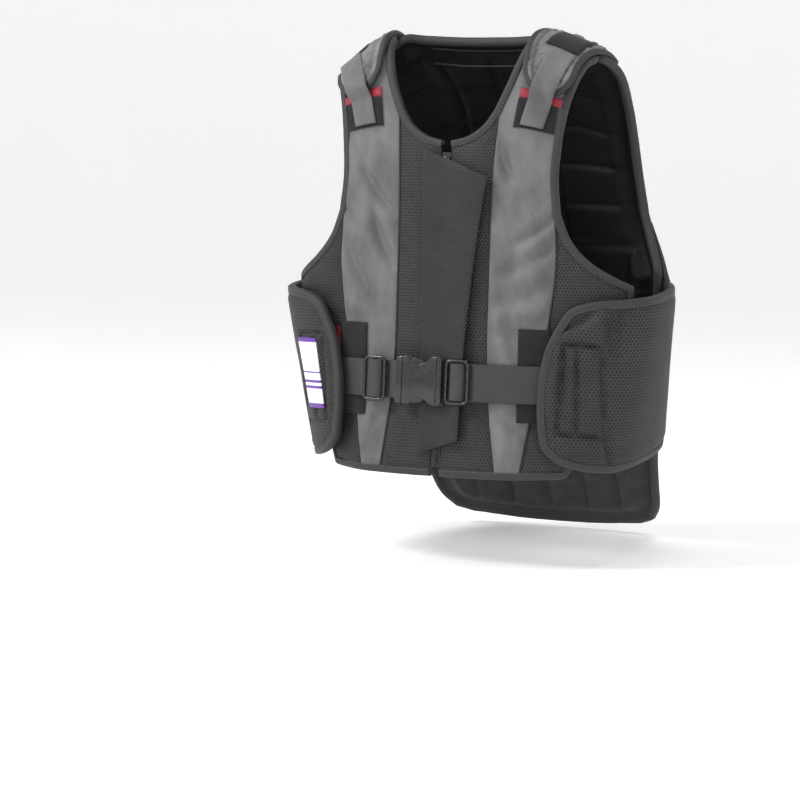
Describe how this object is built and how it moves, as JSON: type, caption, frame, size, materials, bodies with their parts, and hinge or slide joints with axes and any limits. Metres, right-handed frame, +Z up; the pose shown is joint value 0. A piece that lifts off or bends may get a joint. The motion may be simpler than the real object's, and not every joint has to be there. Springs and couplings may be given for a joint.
{
  "type": "body protector vest",
  "caption": "Padded sleeveless body vest for a rider, zipped and buckled shut, with side wings wrapped over the front, shoulder pads and a tail over the lower back.",
  "frame": {"origin": "midway between the wearer's shoulders, at the height where the padding rests on them, under the shoulder ridge", "axes": "+Z up the standing wearer, front of the vest facing -Y, wearer's left +X"},
  "size_m": [0.4382, 0.3342, 0.5639],
  "materials": {
    "back_centre_cover": "padded spacer mesh",
    "back_grey_cover_left": "tight grey woven cloth",
    "back_grey_cover_right": "tight grey woven cloth",
    "back_pad": "smooth dark lining over foam blocks",
    "back_tape": "folded edge tape",
    "buckle_plug": "moulded black plastic",
    "buckle_socket": "moulded black plastic",
    "front_centre_cover_left": "padded spacer mesh",
    "front_centre_cover_right": "padded spacer mesh",
    "front_grey_cover_left": "tight grey woven cloth",
    "front_grey_cover_right": "tight grey woven cloth",
    "front_pad_left": "smooth dark lining over foam blocks",
    "front_pad_right": "smooth dark lining over foam blocks",
    "front_side_cover_left": "padded spacer mesh",
    "front_side_cover_right": "padded spacer mesh",
    "front_tape_left": "folded edge tape",
    "front_tape_right": "folded edge tape",
    "front_zip": "moulded zip chain and tape",
    "label_right": "printed cloth label",
    "shoulder_loop_left": "looped fastening pile",
    "shoulder_loop_right": "looped fastening pile",
    "shoulder_mark_left": "red woven strip",
    "shoulder_mark_right": "red woven strip",
    "shoulder_pad_left": "tight grey woven cloth",
    "shoulder_pad_right": "tight grey woven cloth",
    "shoulder_pad_tape_left": "folded edge tape",
    "shoulder_pad_tape_right": "folded edge tape",
    "shoulder_strap_left": "tight grey woven cloth",
    "shoulder_strap_right": "tight grey woven cloth",
    "shoulder_top_patch_left": "looped fastening pile",
    "shoulder_top_patch_right": "looped fastening pile",
    "side_wing_left": "padded spacer mesh",
    "side_wing_right": "padded spacer mesh",
    "side_wing_tape_left": "folded edge tape",
    "side_wing_tape_right": "folded edge tape",
    "strap_slider_left": "moulded black plastic",
    "strap_slider_right": "moulded black plastic",
    "waist_loop_left": "looped fastening pile",
    "waist_loop_right": "looped fastening pile",
    "waist_strap_left": "ribbed webbing",
    "waist_strap_right": "ribbed webbing",
    "wing_mark_right": "red woven strip",
    "zip_flap": "padded spacer mesh",
    "zip_slider": "black enamel"
  },
  "bodies": {
    "root": {"back_centre_cover": "back_centre_cover", "back_grey_cover_left": "back_grey_cover_left", "back_grey_cover_right": "back_grey_cover_right", "back_pad": "back_pad", "back_tape": "back_tape", "buckle_plug": "buckle_plug", "buckle_socket": "buckle_socket", "front_centre_cover_left": "front_centre_cover_left", "front_centre_cover_right": "front_centre_cover_right", "front_grey_cover_left": "front_grey_cover_left", "front_grey_cover_right": "front_grey_cover_right", "front_pad_left": "front_pad_left", "front_pad_right": "front_pad_right", "front_side_cover_left": "front_side_cover_left", "front_side_cover_right": "front_side_cover_right", "front_tape_left": "front_tape_left", "front_tape_right": "front_tape_right", "front_zip": "front_zip", "label_right": "label_right", "shoulder_loop_left": "shoulder_loop_left", "shoulder_loop_right": "shoulder_loop_right", "shoulder_mark_left": "shoulder_mark_left", "shoulder_mark_right": "shoulder_mark_right", "shoulder_pad_left": "shoulder_pad_left", "shoulder_pad_right": "shoulder_pad_right", "shoulder_pad_tape_left": "shoulder_pad_tape_left", "shoulder_pad_tape_right": "shoulder_pad_tape_right", "shoulder_strap_left": "shoulder_strap_left", "shoulder_strap_right": "shoulder_strap_right", "shoulder_top_patch_left": "shoulder_top_patch_left", "shoulder_top_patch_right": "shoulder_top_patch_right", "side_wing_left": "side_wing_left", "side_wing_right": "side_wing_right", "side_wing_tape_left": "side_wing_tape_left", "side_wing_tape_right": "side_wing_tape_right", "strap_slider_left": "strap_slider_left", "strap_slider_right": "strap_slider_right", "waist_loop_left": "waist_loop_left", "waist_loop_right": "waist_loop_right", "waist_strap_left": "waist_strap_left", "waist_strap_right": "waist_strap_right", "wing_mark_right": "wing_mark_right", "zip_flap": "zip_flap", "zip_slider": "zip_slider"}
  },
  "joints": []
}
